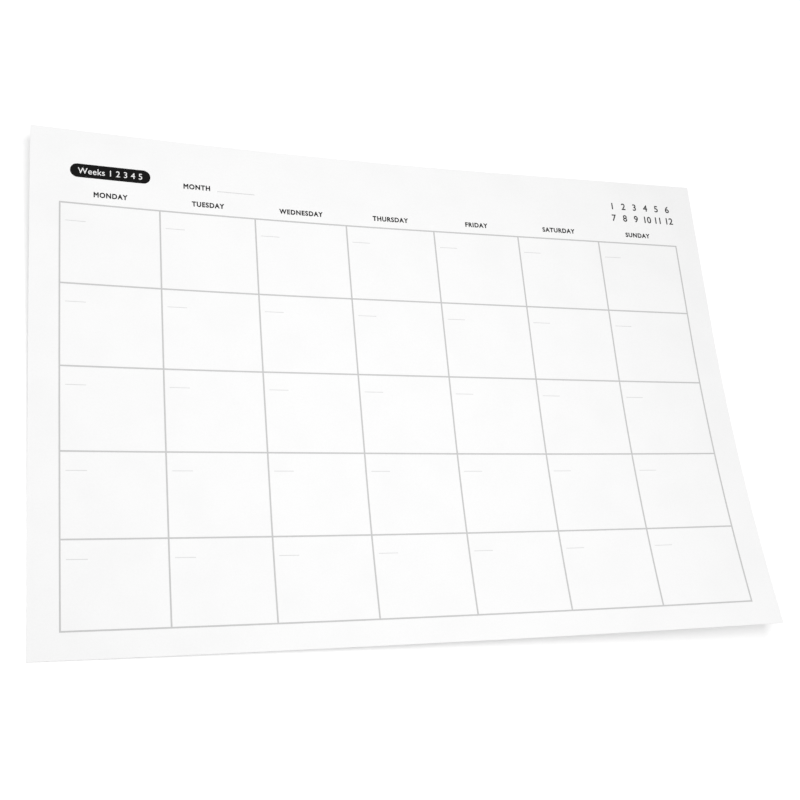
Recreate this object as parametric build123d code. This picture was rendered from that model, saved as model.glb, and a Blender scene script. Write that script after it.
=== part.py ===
# A monthly planner: one large sheet of smooth synthetic paper, printed on one side.
# The sheet lies print side up. A wide band of it is flat on the table, from the left
# edge to the upper right corner, and the two corners beside that band curl up.
# X runs along the long side, Y up the page, Z up. The origin is under the middle of the
# page, on the underside of the flat band.

import os
from dataclasses import dataclass
from math import sin

from build123d import *

os.makedirs("parts", exist_ok=True)

# The sheet
page_width = 420.0
page_height = 297.0
paper_thickness = 0.3

# The curls: the radius of each roll, and where the fold line that it starts from meets
# the edges, as shares of the edge from the page's lower left corner
upper_left_radius = 1300.0
lower_right_radius = 820.0
lower_fold_left_share = 0.10
lower_fold_right_share = 0.68
flat_left_edge_share = 0.02
upper_fold_top_share = 0.67
side_steps = 6

# The ruled grid, one row of cells for each week
weeks = 5
days = 7
side_margin = 16.25
foot_margin = 14.6
header_height = 44.4
grid_line_width = 0.9
ink_thickness = 0.1

# The title badge, from the grid's upper left corner
badge_length = 44.8
badge_height = 8.2
badge_inset = 5.5
badge_rise = 20.0

# The writing rules: one beside the month's heading, and one for the date in each cell
month_rule_length = 22.0
month_rule_inset = 88.9
month_rule_rise = 15.4
date_rule_length = 11.0
date_rule_inset = 3.0
date_rule_drop = 10.6
writing_rule_width = 0.35

# Edges of the page and lines of the grid
left = -page_width / 2
right = page_width / 2
bottom = -page_height / 2
top = page_height / 2
grid_left = left + side_margin
grid_right = right - side_margin
grid_bottom = bottom + foot_margin
grid_top = top - header_height
day_width = (grid_right - grid_left) / days
week_height = (grid_top - grid_bottom) / weeks
half_line = grid_line_width / 2
upward = (0, 0, 1)


# One end of the page, rolled up about a straight fold line. Its corners are those past
# the fold, in order from the line's start to its end, which has the curl on its left.
@dataclass
class Curl:
    start: Vector
    end: Vector
    corners: list
    radius: float

    # The flat page beside the fold, with X pointing across the fold into the curl
    def fold(self):
        return Plane(origin=self.start, x_dir=(self.end - self.start).rotate(Axis.Z, 90), z_dir=upward)

    # The line that the corner is rolled about, with its X pointing up
    def axle(self):
        middle = self.start + Vector(0, 0, self.radius)
        return Plane(origin=middle, x_dir=upward, z_dir=self.fold().y_dir)


upper_fold_left = Vector(left, bottom + (lower_fold_left_share + flat_left_edge_share) * page_height)
upper_fold_top = Vector(left + upper_fold_top_share * page_width, top)
lower_fold_left = Vector(left, bottom + lower_fold_left_share * page_height)
lower_fold_right = Vector(right, bottom + lower_fold_right_share * page_height)

upper_left_curl = Curl(upper_fold_left, upper_fold_top, [Vector(left, top)], upper_left_radius)
lower_right_curl = Curl(
    lower_fold_right,
    lower_fold_left,
    [Vector(right, bottom), Vector(left, bottom)],
    lower_right_radius,
)
curls = [upper_left_curl, lower_right_curl]


# Where a point of the flat page comes to lie, seen from above. Rolling a strip of paper
# keeps its length along the arc, so its reach over the table is the arc's sine.
def bent(x, y):
    for curl in curls:
        place = curl.fold().to_local_coords(Vector(x, y))
        if place.X > 0:
            reach = curl.radius * sin(place.X / curl.radius)
            return curl.fold().from_local_coords(Vector(reach, place.Y))
    return Vector(x, y)


# A straight edge of the page, seen from above once it is bent
def bent_edge(start, end):
    stations = [start + (end - start) * (step / side_steps) for step in range(side_steps + 1)]
    return Spline([bent(point.X, point.Y) for point in stations])


# A straight-sided field of the page, seen from above once it is bent
def bent_field(corners):
    return make_face(Polyline([bent(x, y) for x, y in corners], close=True))


def bent_rectangle(x_low, y_low, x_high, y_high):
    return bent_field([(x_low, y_low), (x_high, y_low), (x_high, y_high), (x_low, y_high)])


# The flat band and each curl's share of the page, seen from above
def flat_band_outline():
    upper_right = Vector(right, top)
    corners = [upper_fold_left, lower_fold_left, lower_fold_right, upper_right, upper_fold_top]
    return make_face(Polyline(corners, close=True))


def curl_outline(curl):
    stops = [curl.start, *curl.corners, curl.end]
    edges = [bent_edge(first, second) for first, second in zip(stops, stops[1:])]
    return make_face(edges + [Line(curl.end, curl.start)])


# A layer of the bent sheet, between two heights that count from its underside: a slab
# over the flat band, and a stretch of a cylinder's wall for each curl
def layer(low, high):
    body = Pos(0, 0, low) * extrude(flat_band_outline(), amount=high - low, dir=upward)
    wall_length = 2 * (page_width + page_height)
    for curl in curls:
        outer = Cylinder(curl.radius - low, wall_length)
        inner = Cylinder(curl.radius - high, wall_length)
        wall = curl.axle() * (outer - inner)
        column = Pos(0, 0, -paper_thickness) * extrude(curl_outline(curl), amount=curl.radius, dir=upward)
        body += wall & column
    return body


# Ink on the sheet's upper face, in the shape of some fields of the page. The columns that
# cut it out are as tall as the page, well past the highest curl.
def printed(fields):
    return ink_layer & extrude(fields, amount=page_height, dir=upward)


# The ruled grid: its outline, with a window for each day's cell
def grid_fields():
    columns = [grid_left + day * day_width for day in range(1, days)]
    rows = [grid_bottom + week * week_height for week in range(1, weeks)]
    x_stops = [grid_left - half_line, *columns, grid_right + half_line]
    y_stops = [grid_bottom - half_line, *rows, grid_top + half_line]
    foot_side = [(x, y_stops[0]) for x in x_stops]
    right_side = [(x_stops[-1], y) for y in y_stops[1:]]
    head_side = [(x, y_stops[-1]) for x in reversed(x_stops[:-1])]
    left_side = [(x_stops[0], y) for y in reversed(y_stops[1:-1])]
    field = bent_field(foot_side + right_side + head_side + left_side)
    for x, y in cell_corners():
        field -= bent_rectangle(
            x + half_line, y - week_height + half_line, x + day_width - half_line, y - half_line
        )
    return field


# The upper left corner of each day's cell
def cell_corners():
    return [
        (grid_left + day * day_width, grid_top - week * week_height)
        for week in range(weeks)
        for day in range(days)
    ]


# The title badge: a bar with full round ends
def badge_field():
    height = grid_top + badge_rise
    inset = grid_left + badge_inset + badge_height / 2
    first = bent(inset, height)
    last = bent(inset + badge_length - badge_height, height)
    run = last - first
    angle = Vector(1, 0, 0).get_signed_angle(run, Vector(upward))
    middle = (first + last) / 2
    return Pos(middle.X, middle.Y) * SlotCenterToCenter(run.length, badge_height, rotation=angle)


# A thin rule to write on, from its left end
def rule_field(x, y, length):
    return bent_rectangle(x, y - writing_rule_width / 2, x + length, y + writing_rule_width / 2)


def writing_rule_fields():
    fields = rule_field(grid_left + month_rule_inset, grid_top + month_rule_rise, month_rule_length)
    for x, y in cell_corners():
        fields += rule_field(x + date_rule_inset, y - date_rule_drop, date_rule_length)
    return fields


ink_layer = layer(paper_thickness, paper_thickness + ink_thickness)

nodes = {
    "paper_sheet": layer(0, paper_thickness),
    "grid_ruling": printed(grid_fields()),
    "title_badge": printed(badge_field()),
    "writing_rules": printed(writing_rule_fields()),
}

for name, shape in nodes.items():
    export_step(shape, f"parts/{name}.step")
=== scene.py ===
import math

import bmesh
import bpy
from mathutils import Euler, Matrix, Vector


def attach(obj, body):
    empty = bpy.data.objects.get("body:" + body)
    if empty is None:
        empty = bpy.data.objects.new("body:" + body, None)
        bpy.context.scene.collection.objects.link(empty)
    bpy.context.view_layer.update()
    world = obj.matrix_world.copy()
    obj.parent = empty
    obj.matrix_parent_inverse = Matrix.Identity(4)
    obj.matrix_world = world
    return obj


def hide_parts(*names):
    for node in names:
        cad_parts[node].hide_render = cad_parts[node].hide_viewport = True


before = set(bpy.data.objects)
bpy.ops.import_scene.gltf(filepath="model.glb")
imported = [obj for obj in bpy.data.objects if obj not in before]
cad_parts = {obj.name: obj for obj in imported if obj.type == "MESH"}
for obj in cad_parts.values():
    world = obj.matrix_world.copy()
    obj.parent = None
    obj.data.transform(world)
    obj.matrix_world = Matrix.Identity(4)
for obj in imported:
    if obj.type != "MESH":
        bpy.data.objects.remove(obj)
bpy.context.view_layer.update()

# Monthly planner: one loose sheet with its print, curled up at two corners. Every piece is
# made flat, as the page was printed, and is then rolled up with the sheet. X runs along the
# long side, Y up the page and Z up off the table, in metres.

mm = 0.001
samePlace = 0.01 * mm   # places nearer than this count as one

sheet = {
    "width": 420 * mm,
    "height": 297 * mm,
    "thickness": 0.3 * mm,
    "edgeRound": 0.04 * mm,   # what the guillotine leaves of the cut edge's corners
    "roundSteps": 2,
}

curl = {
    "upperLeftRadius": 1300 * mm,
    "lowerRightRadius": 820 * mm,
    "lowerFoldLeftShare": 0.10,    # where each fold line meets the page's edges,
    "lowerFoldRightShare": 0.68,   # counted from the lower left corner
    "upperFoldLeftShare": 0.12,
    "upperFoldTopShare": 0.67,
    "facet": 5 * mm,               # width of one facet of the roll
}

pageLeft = -sheet["width"] / 2
pageRight = sheet["width"] / 2
pageBottom = -sheet["height"] / 2
pageTop = sheet["height"] / 2
pageCorners = [
    Vector((pageLeft, pageBottom)),
    Vector((pageRight, pageBottom)),
    Vector((pageRight, pageTop)),
    Vector((pageLeft, pageTop)),
]

# The roll


# A fold line that has its curl on the left, and how far the page reaches past it
def foldLine(start, end, radius):
    along = (end - start).normalized()
    across = Vector((-along.y, along.x))
    reach = max((corner - start).dot(across) for corner in pageCorners)
    return {"start": start, "across": across, "radius": radius, "reach": reach}


foldLines = [
    foldLine(
        Vector((pageLeft, pageBottom + curl["upperFoldLeftShare"] * sheet["height"])),
        Vector((pageLeft + curl["upperFoldTopShare"] * sheet["width"], pageTop)),
        curl["upperLeftRadius"],
    ),
    foldLine(
        Vector((pageRight, pageBottom + curl["lowerFoldRightShare"] * sheet["height"])),
        Vector((pageLeft, pageBottom + curl["lowerFoldLeftShare"] * sheet["height"])),
        curl["lowerRightRadius"],
    ),
]


# Where a point of the flat work comes to lie. The sheet's underside keeps its length along
# the roll, and what lies higher is rolled to a smaller radius.
def rolled(point):
    for fold in foldLines:
        past = (point.xy - fold["start"]).dot(fold["across"])
        if past > 0:
            turn = past / fold["radius"]
            inside = fold["radius"] - point.z
            place = point.xy + fold["across"] * (inside * math.sin(turn) - past)
            return Vector((place.x, place.y, fold["radius"] - inside * math.cos(turn)))
    return point.copy()


# Cuts flat work along the same straight lines as every other layer, so that all of them
# turn together and none sinks into the next. The first cut is one facet before the fold.
def cutAndRoll(layer):
    for fold in foldLines:
        steps = math.ceil(fold["reach"] / curl["facet"])
        for step in range(-1, steps):
            place = fold["start"] + fold["across"] * (step * curl["facet"])
            parts = layer.verts[:] + layer.edges[:] + layer.faces[:]
            bmesh.ops.bisect_plane(
                layer, geom=parts, dist=samePlace,
                plane_co=(place.x, place.y, 0), plane_no=(fold["across"].x, fold["across"].y, 0),
            )
    for vert in layer.verts:
        vert.co = rolled(vert.co)


# Making pieces


# Adds a flat rectangle to a layer, ruled into columns and rows of equal faces. It is a unit
# square until it is placed.
def addRectangle(layer, middle, width, height, columns=1, rows=1):
    place = Matrix.Translation((*middle, 0)) @ Matrix.Diagonal((width, height, 1, 1))
    bmesh.ops.create_grid(layer, x_segments=columns, y_segments=rows, size=0.5, matrix=place)


# Turns a flat layer into a closed film from one height to another
def thicken(layer, low, high):
    bmesh.ops.translate(layer, verts=layer.verts[:], vec=(0, 0, low))
    top = bmesh.ops.extrude_face_region(layer, geom=layer.faces[:])
    topVerts = [item for item in top["geom"] if isinstance(item, bmesh.types.BMVert)]
    bmesh.ops.translate(layer, verts=topVerts, vec=(0, 0, high - low))
    bmesh.ops.recalc_face_normals(layer, faces=layer.faces[:])


def addObject(name, data):
    item = bpy.data.objects.new(name, data)
    bpy.context.scene.collection.objects.link(item)
    return item


def addMeshObject(layer, name, material):
    mesh = bpy.data.meshes.new(name)
    layer.to_mesh(mesh)
    layer.free()
    mesh.materials.append(material)
    return addObject(name, mesh)


def finishPiece(layer, name, material, replaced=()):
    piece = addMeshObject(layer, name, material)
    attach(piece, "root")
    for node in replaced:
        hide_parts(node)
    print(name, len(piece.data.polygons), "faces")


# Materials


# A colour in sRGB hex, as the linear light that Blender's sockets take
def linear(hexColour):
    channels = [int(hexColour[place:place + 2], 16) / 255 for place in (1, 3, 5)]
    light = [c / 12.92 if c <= 0.04045 else ((c + 0.055) / 1.055) ** 2.4 for c in channels]
    return (*light, 1)


def newMaterial(name):
    material = bpy.data.materials.new(name)
    material.use_nodes = True
    return material, material.node_tree, material.node_tree.nodes["Principled BSDF"]


# Adds a node and links it from its sources. A setting is a property of the node, or else
# one of its sockets, with an underscore for each space in the socket's name.
def addNode(tree, kind, links=(), **settings):
    node = tree.nodes.new(kind)
    for key, value in settings.items():
        if hasattr(node, key):
            setattr(node, key, value)
        else:
            node.inputs[key.replace("_", " ")].default_value = value
    for source, socket in links:
        tree.links.new(source, node.inputs[socket])
    return node


# Sets the two ends of a colour ramp, each a position and a colour
def setTones(ramp, stops):
    for end, (position, colour) in zip(ramp.elements, stops):
        end.position = position
        end.color = linear(colour)


# Mineral-filled synthetic paper, calendered smooth: near white and matt, with a stone-like
# fleck and slow clouds of filler that the eye takes as softness, and a tooth that breaks
# up the light
def calenderedMineralPaper():
    look = {
        "fleck": {"Scale": 1 / (0.9 * mm), "Detail": 3.0, "Roughness": 0.6},
        "cloud": {"Scale": 1 / (26 * mm), "Detail": 2.0, "Roughness": 0.5},
        "tooth": {"Scale": 1 / (0.35 * mm), "Detail": 4.0, "Roughness": 0.65},   # drawn coarse to show
        "tones": [(0.1, "#f8f8f8"), (0.32, "#fbfbfb")],   # for fleck times cloud
        "fleckRange": (0.3, 0.7),    # where most of the fleck's noise lies
        "roughness": (0.62, 0.74),   # on the pressed filler grains, and between them
        "toothStrength": 0.5,
        "toothDepth": 0.012 * mm,
        "bendOfLight": 1.5,
        "shine": 0.25,
    }
    material, tree, shader = newMaterial("calenderedMineralPaper")
    place = addNode(tree, "ShaderNodeTexCoord").outputs["Object"]
    fleck = addNode(tree, "ShaderNodeTexNoise", [(place, "Vector")], **look["fleck"])
    cloud = addNode(tree, "ShaderNodeTexNoise", [(place, "Vector")], **look["cloud"])
    both = addNode(tree, "ShaderNodeMath", [(fleck.outputs["Fac"], 0), (cloud.outputs["Fac"], 1)],
                   operation="MULTIPLY")
    tone = addNode(tree, "ShaderNodeValToRGB", [(both.outputs["Value"], "Fac")])
    setTones(tone.color_ramp, look["tones"])
    rough = addNode(tree, "ShaderNodeMapRange", [(fleck.outputs["Fac"], "Value")],
                    From_Min=look["fleckRange"][0], From_Max=look["fleckRange"][1],
                    To_Min=look["roughness"][0], To_Max=look["roughness"][1])
    tooth = addNode(tree, "ShaderNodeTexNoise", [(place, "Vector")], **look["tooth"])
    bump = addNode(tree, "ShaderNodeBump", [(tooth.outputs["Fac"], "Height")],
                   Strength=look["toothStrength"], Distance=look["toothDepth"])
    tree.links.new(tone.outputs["Color"], shader.inputs["Base Color"])
    tree.links.new(rough.outputs["Result"], shader.inputs["Roughness"])
    tree.links.new(bump.outputs["Normal"], shader.inputs["Normal"])
    shader.inputs["IOR"].default_value = look["bendOfLight"]
    shader.inputs["Specular IOR Level"].default_value = look["shine"]
    return material


# Offset ink on that paper: an even coat that dries into the paper's tooth, so it is as
# matt as the sheet, and a little mottled where the coat is thinner
def offsetInk(name, colour, mottle, shine):
    look = {
        "grain": {"Scale": 1 / (0.5 * mm), "Detail": 3.0, "Roughness": 0.6},
        "tones": [(0.3, colour), (0.75, mottle)],
        "roughness": 0.6,
        "toothStrength": 0.4,
        "toothDepth": 0.008 * mm,
        "bendOfLight": 1.5,
    }
    material, tree, shader = newMaterial(name)
    place = addNode(tree, "ShaderNodeTexCoord").outputs["Object"]
    grain = addNode(tree, "ShaderNodeTexNoise", [(place, "Vector")], **look["grain"])
    tone = addNode(tree, "ShaderNodeValToRGB", [(grain.outputs["Fac"], "Fac")])
    setTones(tone.color_ramp, look["tones"])
    bump = addNode(tree, "ShaderNodeBump", [(grain.outputs["Fac"], "Height")],
                   Strength=look["toothStrength"], Distance=look["toothDepth"])
    tree.links.new(tone.outputs["Color"], shader.inputs["Base Color"])
    tree.links.new(bump.outputs["Normal"], shader.inputs["Normal"])
    shader.inputs["Roughness"].default_value = look["roughness"]
    shader.inputs["IOR"].default_value = look["bendOfLight"]
    shader.inputs["Specular IOR Level"].default_value = shine
    return material


paper = calenderedMineralPaper()
blackInk = offsetInk("solidBlackOffsetInk", "#0b0b0b", "#121212", 0.06)
headingInk = offsetInk("darkGreyOffsetInk", "#161616", "#202020", 0.08)
gridInk = offsetInk("lightGreyOffsetInk", "#c5c5c5", "#cdcdcd", 0.2)
numberInk = offsetInk("midGreyOffsetInk", "#323232", "#3c3c3c", 0.12)
dateRuleInk = offsetInk("paleGreyOffsetInk", "#d7d7d7", "#dddddd", 0.2)
monthRuleInk = offsetInk("softGreyOffsetInk", "#c9c9c9", "#d1d1d1", 0.2)
reversedOut = offsetInk("reversedOutWhite", "#f8f8f8", "#f3f3f3", 0.25)

# The sheet


def makeSheet():
    layer = bmesh.new()
    addRectangle(layer, (0, 0), sheet["width"], sheet["height"])
    thicken(layer, 0, sheet["thickness"])
    rims = [edge for edge in layer.edges if isLevel(edge)]
    bmesh.ops.bevel(layer, geom=rims, offset=sheet["edgeRound"], offset_type="OFFSET",
                    segments=sheet["roundSteps"], profile=0.5, affect="EDGES", material=-1)
    cutAndRoll(layer)
    finishPiece(layer, "paperSheet", paper, ["paper_sheet"])


def isLevel(edge):
    first, second = edge.verts
    return abs(first.co.z - second.co.z) < samePlace


makeSheet()

# The print

inkFilm = 0.03 * mm   # real ink is thinner, this keeps it clear of the paper
inkLow = sheet["thickness"]
inkHigh = inkLow + inkFilm


# Turns flat print into a film of ink on the paper, or on the film that ends at low
def finishPrint(layer, name, material, replaced=(), low=inkLow):
    thicken(layer, low, low + inkFilm)
    cutAndRoll(layer)
    finishPiece(layer, name, material, replaced)


# The ruled grid

ruling = {
    "days": 7,
    "weeks": 5,
    "sideMargin": 16.25 * mm,
    "footMargin": 14.6 * mm,
    "header": 44.4 * mm,
    "line": 0.9 * mm,
}

gridLeft = pageLeft + ruling["sideMargin"]
gridRight = pageRight - ruling["sideMargin"]
gridBottom = pageBottom + ruling["footMargin"]
gridTop = pageTop - ruling["header"]
gridSize = (gridRight - gridLeft, gridTop - gridBottom)
gridMiddle = ((gridLeft + gridRight) / 2, (gridBottom + gridTop) / 2)
dayWidth = gridSize[0] / ruling["days"]
weekHeight = gridSize[1] / ruling["weeks"]


# The cells are inset by half a line and taken out, which leaves half a line along the rim.
# The other half is added outside.
def makeGrid():
    layer = bmesh.new()
    addRectangle(layer, gridMiddle, *gridSize, columns=ruling["days"], rows=ruling["weeks"])
    halfLine = ruling["line"] / 2
    cells = layer.faces[:]
    bmesh.ops.inset_individual(layer, faces=cells, thickness=halfLine, use_even_offset=True)
    bmesh.ops.delete(layer, geom=cells, context="FACES_ONLY")
    rim = [edge for edge in layer.edges if onGridRim(edge)]
    grown = bmesh.ops.extrude_edge_only(layer, edges=rim)
    for item in grown["geom"]:
        if isinstance(item, bmesh.types.BMVert):
            away = item.co.xy - Vector(gridMiddle)
            for axis in range(2):
                if abs(abs(away[axis]) - gridSize[axis] / 2) < samePlace:
                    item.co[axis] += math.copysign(halfLine, away[axis])
    finishPrint(layer, "gridRuling", gridInk, ["grid_ruling"])


def onGridRim(edge):
    for place, axis in ((gridLeft, 0), (gridRight, 0), (gridBottom, 1), (gridTop, 1)):
        if all(abs(vert.co[axis] - place) < samePlace for vert in edge.verts):
            return True
    return False


makeGrid()

# The title badge

badge = {
    "length": 44.8 * mm,
    "height": 8.2 * mm,
    "inset": 5.5 * mm,   # from the grid's left line
    "rise": 20 * mm,     # of its middle, above the grid's top line
    "endSteps": 14,      # facets in each quarter circle of its round ends
}

badgeMiddle = (gridLeft + badge["inset"] + badge["length"] / 2, gridTop + badge["rise"])


def makeBadge():
    layer = bmesh.new()
    addRectangle(layer, badgeMiddle, badge["length"], badge["height"])
    bmesh.ops.bevel(layer, geom=layer.verts[:], offset=badge["height"] / 2, offset_type="OFFSET",
                    segments=badge["endSteps"], profile=0.5, affect="VERTICES", material=-1)
    bmesh.ops.remove_doubles(layer, verts=layer.verts[:], dist=samePlace)
    finishPrint(layer, "titleBadge", blackInk, ["title_badge"])


makeBadge()

# The writing rules: one for the date in each cell, and one beside the month heading

dateRules = {
    "length": 11 * mm,
    "width": 0.35 * mm,
    "inset": 3 * mm,      # left end, from the cell's left line
    "drop": 10.6 * mm,    # below the cell's top line
}

monthRule = {
    "length": 22 * mm,
    "width": 0.35 * mm,
    "inset": 88.9 * mm,   # left end, from the grid's left line
    "rise": 15.4 * mm,    # above the grid's top line
}


def makeRules(name, rule, leftEnds, ink):
    layer = bmesh.new()
    for left, middle in leftEnds:
        addRectangle(layer, (left + rule["length"] / 2, middle), rule["length"], rule["width"])
    finishPrint(layer, name, ink, ["writing_rules"])


dateEnds = [
    (gridLeft + day * dayWidth + dateRules["inset"], gridTop - week * weekHeight - dateRules["drop"])
    for week in range(ruling["weeks"]) for day in range(ruling["days"])
]
monthEnd = (gridLeft + monthRule["inset"], gridTop + monthRule["rise"])
makeRules("dateRules", dateRules, dateEnds, dateRuleInk)
makeRules("monthRule", monthRule, [monthEnd], monthRuleInk)

# Lettering, in Blender's built-in plain face. In what follows, capHeight is the height of
# the capitals before they are made bolder, weight is the rim added all round, in sizes of
# the face, and narrow and spacing are shares of the face's own width and spacing.

lettering = {
    "capShare": 0.682,   # height of the face's capitals, as a share of its size
    "curveSteps": 6,
    "smallest": 0.003,   # corners nearer than this are drawn as one, in sizes of the face
    "closest": 0.001,    # the same for the corners of notches that close up in a bold letter
    "sharpTip": 1.6,     # how far a sharp tip may grow when a letter is made bold,
    "sharpNotch": 5.0,   # and how far a sharp notch may close, in widths of the added rim
}


# Makes flat letters bolder: their rims move outward, and the corners with them
def embolden(letters, weight):
    facing = max(letters.faces, key=lambda face: face.calc_area()).normal.copy()
    outward = {}
    onward = {}
    for edge in letters.edges:
        if not edge.is_boundary:
            continue
        loop = edge.link_loops[0]
        along = (loop.link_loop_next.vert.co - loop.vert.co).normalized()
        for vert, ahead in ((loop.vert, along), (loop.link_loop_next.vert, -along)):
            outward.setdefault(vert, []).append(along.cross(facing))
            onward.setdefault(vert, []).append(ahead)
    for vert, sides in outward.items():
        corner = sum(sides, Vector()).normalized()
        inNotch = sum(onward[vert], Vector()).dot(corner) > 0
        farthest = lettering["sharpNotch"] if inNotch else lettering["sharpTip"]
        vert.co += corner * weight / max(corner.dot(sides[0]), 1 / farthest)


# Adds a line of lettering to flat work, at its middle height and its middle or left end
def addWords(layer, words, look, place, align="CENTER"):
    curve = bpy.data.curves.new("lettering", "FONT")
    curve.body = words
    curve.align_x = align
    curve.space_character = look["spacing"]
    curve.resolution_u = lettering["curveSteps"]
    text = addObject("lettering", curve)
    bpy.context.view_layer.update()
    mesh = bpy.data.meshes.new_from_object(text)
    bpy.data.objects.remove(text)
    letters = bmesh.new()
    letters.from_mesh(mesh)
    bmesh.ops.remove_doubles(letters, verts=letters.verts[:], dist=lettering["smallest"])
    letters.normal_update()
    embolden(letters, look["weight"])
    bmesh.ops.remove_doubles(letters, verts=letters.verts[:], dist=lettering["closest"])
    bmesh.ops.beautify_fill(letters, faces=letters.faces[:], edges=letters.edges[:], method="ANGLE")
    size = look["capHeight"] / lettering["capShare"]
    shift = Matrix.Translation((place[0], place[1] - look["capHeight"] / 2, 0))
    scale = Matrix.Diagonal((size * look["narrow"], size, 1, 1))
    bmesh.ops.transform(letters, matrix=shift @ scale, verts=letters.verts[:])
    letters.to_mesh(mesh)
    letters.free()
    layer.from_mesh(mesh)
    bpy.data.meshes.remove(mesh)


badgeWords = {
    "words": "Weeks 1 2 3 4 5",
    "capHeight": 3.5 * mm,
    "weight": 0.004,
    "narrow": 0.98,
    "spacing": 1.06,
}


# On a real sheet such words are bare paper in the black print. Here they are a white film.
def makeBadgeWords():
    layer = bmesh.new()
    addWords(layer, badgeWords["words"], badgeWords, badgeMiddle)
    finishPrint(layer, "badgeWords", reversedOut, low=inkHigh)


headings = {
    "days": ["MONDAY", "TUESDAY", "WEDNESDAY", "THURSDAY", "FRIDAY", "SATURDAY", "SUNDAY"],
    "rise": 6.2 * mm,          # middle of the weekday names above the grid's top line
    "drift": 0.16 * mm,        # how much further right each name is set than the one before
    "month": "MONTH",
    "monthInset": 69.1 * mm,   # left end of the month heading, from the grid's left line
    "monthRise": 16.85 * mm,   # and its middle above the grid's top line
    "capHeight": 2.85 * mm,
    "weight": 0.04,
    "narrow": 0.94,
    "spacing": 1.15,
}


def makeHeadings():
    layer = bmesh.new()
    for day, name in enumerate(headings["days"]):
        middle = gridLeft + (day + 0.5) * dayWidth + day * headings["drift"]
        addWords(layer, name, headings, (middle, gridTop + headings["rise"]))
    monthPlace = (gridLeft + headings["monthInset"], gridTop + headings["monthRise"])
    addWords(layer, headings["month"], headings, monthPlace, align="LEFT")
    finishPrint(layer, "headings", headingInk)


# The months by number, to ring the one that the sheet is used for
monthNumbers = {
    "columns": 6,
    "rows": 2,
    "inset": 2.2 * mm,    # middle of the last column, from the grid's right line
    "rise": 26.4 * mm,    # middle of the first row, above the grid's top line
    "across": 7.9 * mm,   # from one column to the next
    "down": 8.4 * mm,     # from one row to the next
    "capHeight": 4.4 * mm,
    "weight": 0.018,
    "narrow": 0.95,
    "spacing": 1.0,
}


def makeMonthNumbers():
    layer = bmesh.new()
    lastColumn = monthNumbers["columns"] - 1
    for number in range(monthNumbers["rows"] * monthNumbers["columns"]):
        row, column = divmod(number, monthNumbers["columns"])
        across = gridRight - monthNumbers["inset"] - (lastColumn - column) * monthNumbers["across"]
        up = gridTop + monthNumbers["rise"] - row * monthNumbers["down"]
        addWords(layer, str(number + 1), monthNumbers, (across, up))
    finishPrint(layer, "monthNumbers", numberInk)


makeBadgeWords()
makeHeadings()
makeMonthNumbers()

# Table, light and camera

stage = {
    "white": (1, 1, 1, 1),
    "floorSize": 6.0,
    "floorDrop": 0.02 * mm,   # keeps the floor clear of the sheet's underside
    "floorGrey": "#e6e6e6",
    "floorRoughness": 0.8,
    "floorShine": 0.1,
    "glowNear": 0.42,         # lifts the floor to white, and leaves the sheet's shadow in it
    "glowFar": 1.0,           # lifts it to white by itself, where little light falls
    "nearReach": 0.45,        # the glow is even up to here, from the middle of the page,
    "farReach": 1.4,          # and grows up to here
    "skyLight": 0.41,
    "lampPlace": (-0.024, -0.014, 0.8),
    "lampSize": 0.5,
    "lampWatts": 4.36,
}


# One for the eye and for what gloss or glass would show of the stage, none for the light
# that the stage sheds on the object
def seenRays(tree):
    path = addNode(tree, "ShaderNodeLightPath")
    shown = path.outputs["Is Camera Ray"]
    for kind in ("Is Glossy Ray", "Is Transmission Ray"):
        either = addNode(tree, "ShaderNodeMath", [(shown, 0), (path.outputs[kind], 1)],
                         operation="MAXIMUM")
        shown = either.outputs["Value"]
    return shown


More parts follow.
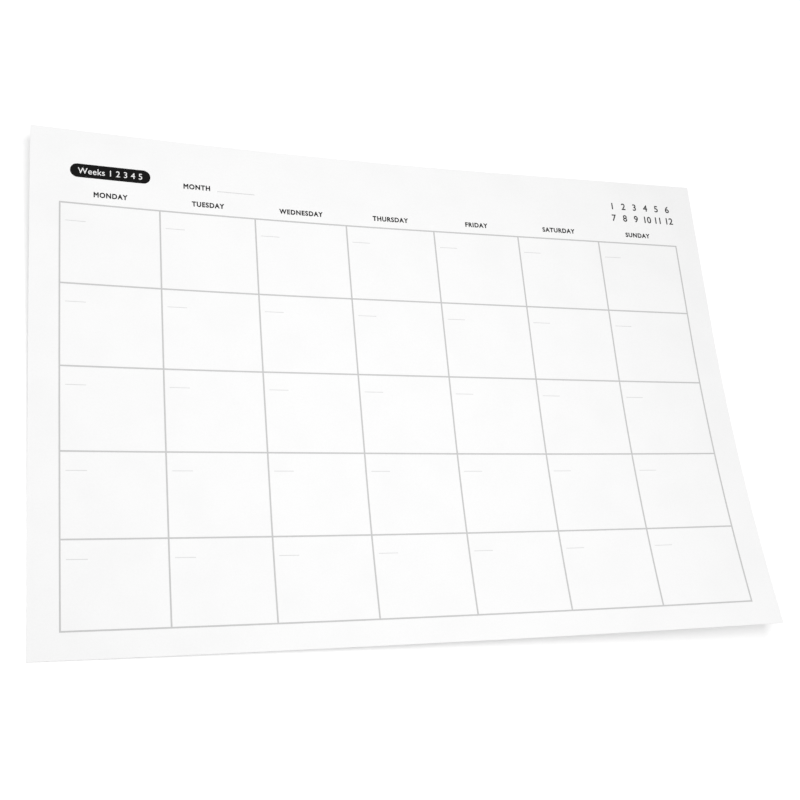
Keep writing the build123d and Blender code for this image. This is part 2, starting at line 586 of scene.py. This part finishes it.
# A pale matt table, with a glow that grows away from the sheet
def makeFloor():
    layer = bmesh.new()
    addRectangle(layer, (0, 0), stage["floorSize"], stage["floorSize"])
    bmesh.ops.translate(layer, verts=layer.verts[:], vec=(0, 0, -stage["floorDrop"]))
    material, tree, shader = newMaterial("paleTable")
    shader.inputs["Base Color"].default_value = linear(stage["floorGrey"])
    shader.inputs["Roughness"].default_value = stage["floorRoughness"]
    shader.inputs["Specular IOR Level"].default_value = stage["floorShine"]
    place = addNode(tree, "ShaderNodeTexCoord").outputs["Object"]
    reach = addNode(tree, "ShaderNodeVectorMath", [(place, 0)], operation="LENGTH")
    level = addNode(tree, "ShaderNodeMapRange", [(reach.outputs["Value"], "Value")],
                    From_Min=stage["nearReach"], From_Max=stage["farReach"],
                    To_Min=stage["glowNear"], To_Max=stage["glowFar"])
    strength = addNode(tree, "ShaderNodeMath", [(level.outputs["Result"], 0), (seenRays(tree), 1)],
                       operation="MULTIPLY")
    glow = addNode(tree, "ShaderNodeEmission", [(strength.outputs["Value"], "Strength")])
    both = addNode(tree, "ShaderNodeAddShader",
                   [(shader.outputs["BSDF"], 0), (glow.outputs["Emission"], 1)])
    tree.links.new(both.outputs["Shader"], tree.nodes["Material Output"].inputs["Surface"])
    floor = addMeshObject(layer, "floor", material)


def makeLight():
    world = bpy.data.worlds.new("studio")
    bpy.context.scene.world = world
    world.use_nodes = True
    tree = world.node_tree
    sky = tree.nodes["Background"]
    sky.inputs["Color"].default_value = stage["white"]
    sky.inputs["Strength"].default_value = stage["skyLight"]
    white = addNode(tree, "ShaderNodeBackground", Color=stage["white"], Strength=1.0)
    pick = addNode(tree, "ShaderNodeMixShader", [
        (seenRays(tree), 0), (sky.outputs["Background"], 1), (white.outputs["Background"], 2),
    ])
    tree.links.new(pick.outputs["Shader"], tree.nodes["World Output"].inputs["Surface"])
    lamp = bpy.data.lights.new("softLamp", "AREA")
    lamp.size = stage["lampSize"]
    lamp.energy = stage["lampWatts"]
    addObject("softLamp", lamp).location = stage["lampPlace"]


photoView = {
    "place": (-228.6 * mm, -260.7 * mm, 676.2 * mm),
    "turn": (20.31, -17.13, -5.39),   # degrees about X, Y and Z
    "lens": 59.05,                    # this and the sensor are in millimetres
    "sensor": 36,
    "shift": (-0.0176, 0.0277),       # in widths of the sensor
    "nearest": 10 * mm,               # what is nearer isn't drawn
}


def makeCamera():
    camera = bpy.data.cameras.new("photoView")
    camera.lens = photoView["lens"]
    camera.sensor_width = photoView["sensor"]
    camera.shift_x, camera.shift_y = photoView["shift"]
    camera.clip_start = photoView["nearest"]
    holder = addObject("photoView", camera)
    holder.location = photoView["place"]
    holder.rotation_euler = Euler([math.radians(angle) for angle in photoView["turn"]])
    bpy.context.scene.camera = holder


makeFloor()
makeLight()
makeCamera()
bpy.context.scene.view_settings.view_transform = "Standard"
print("stage, light and camera ready")
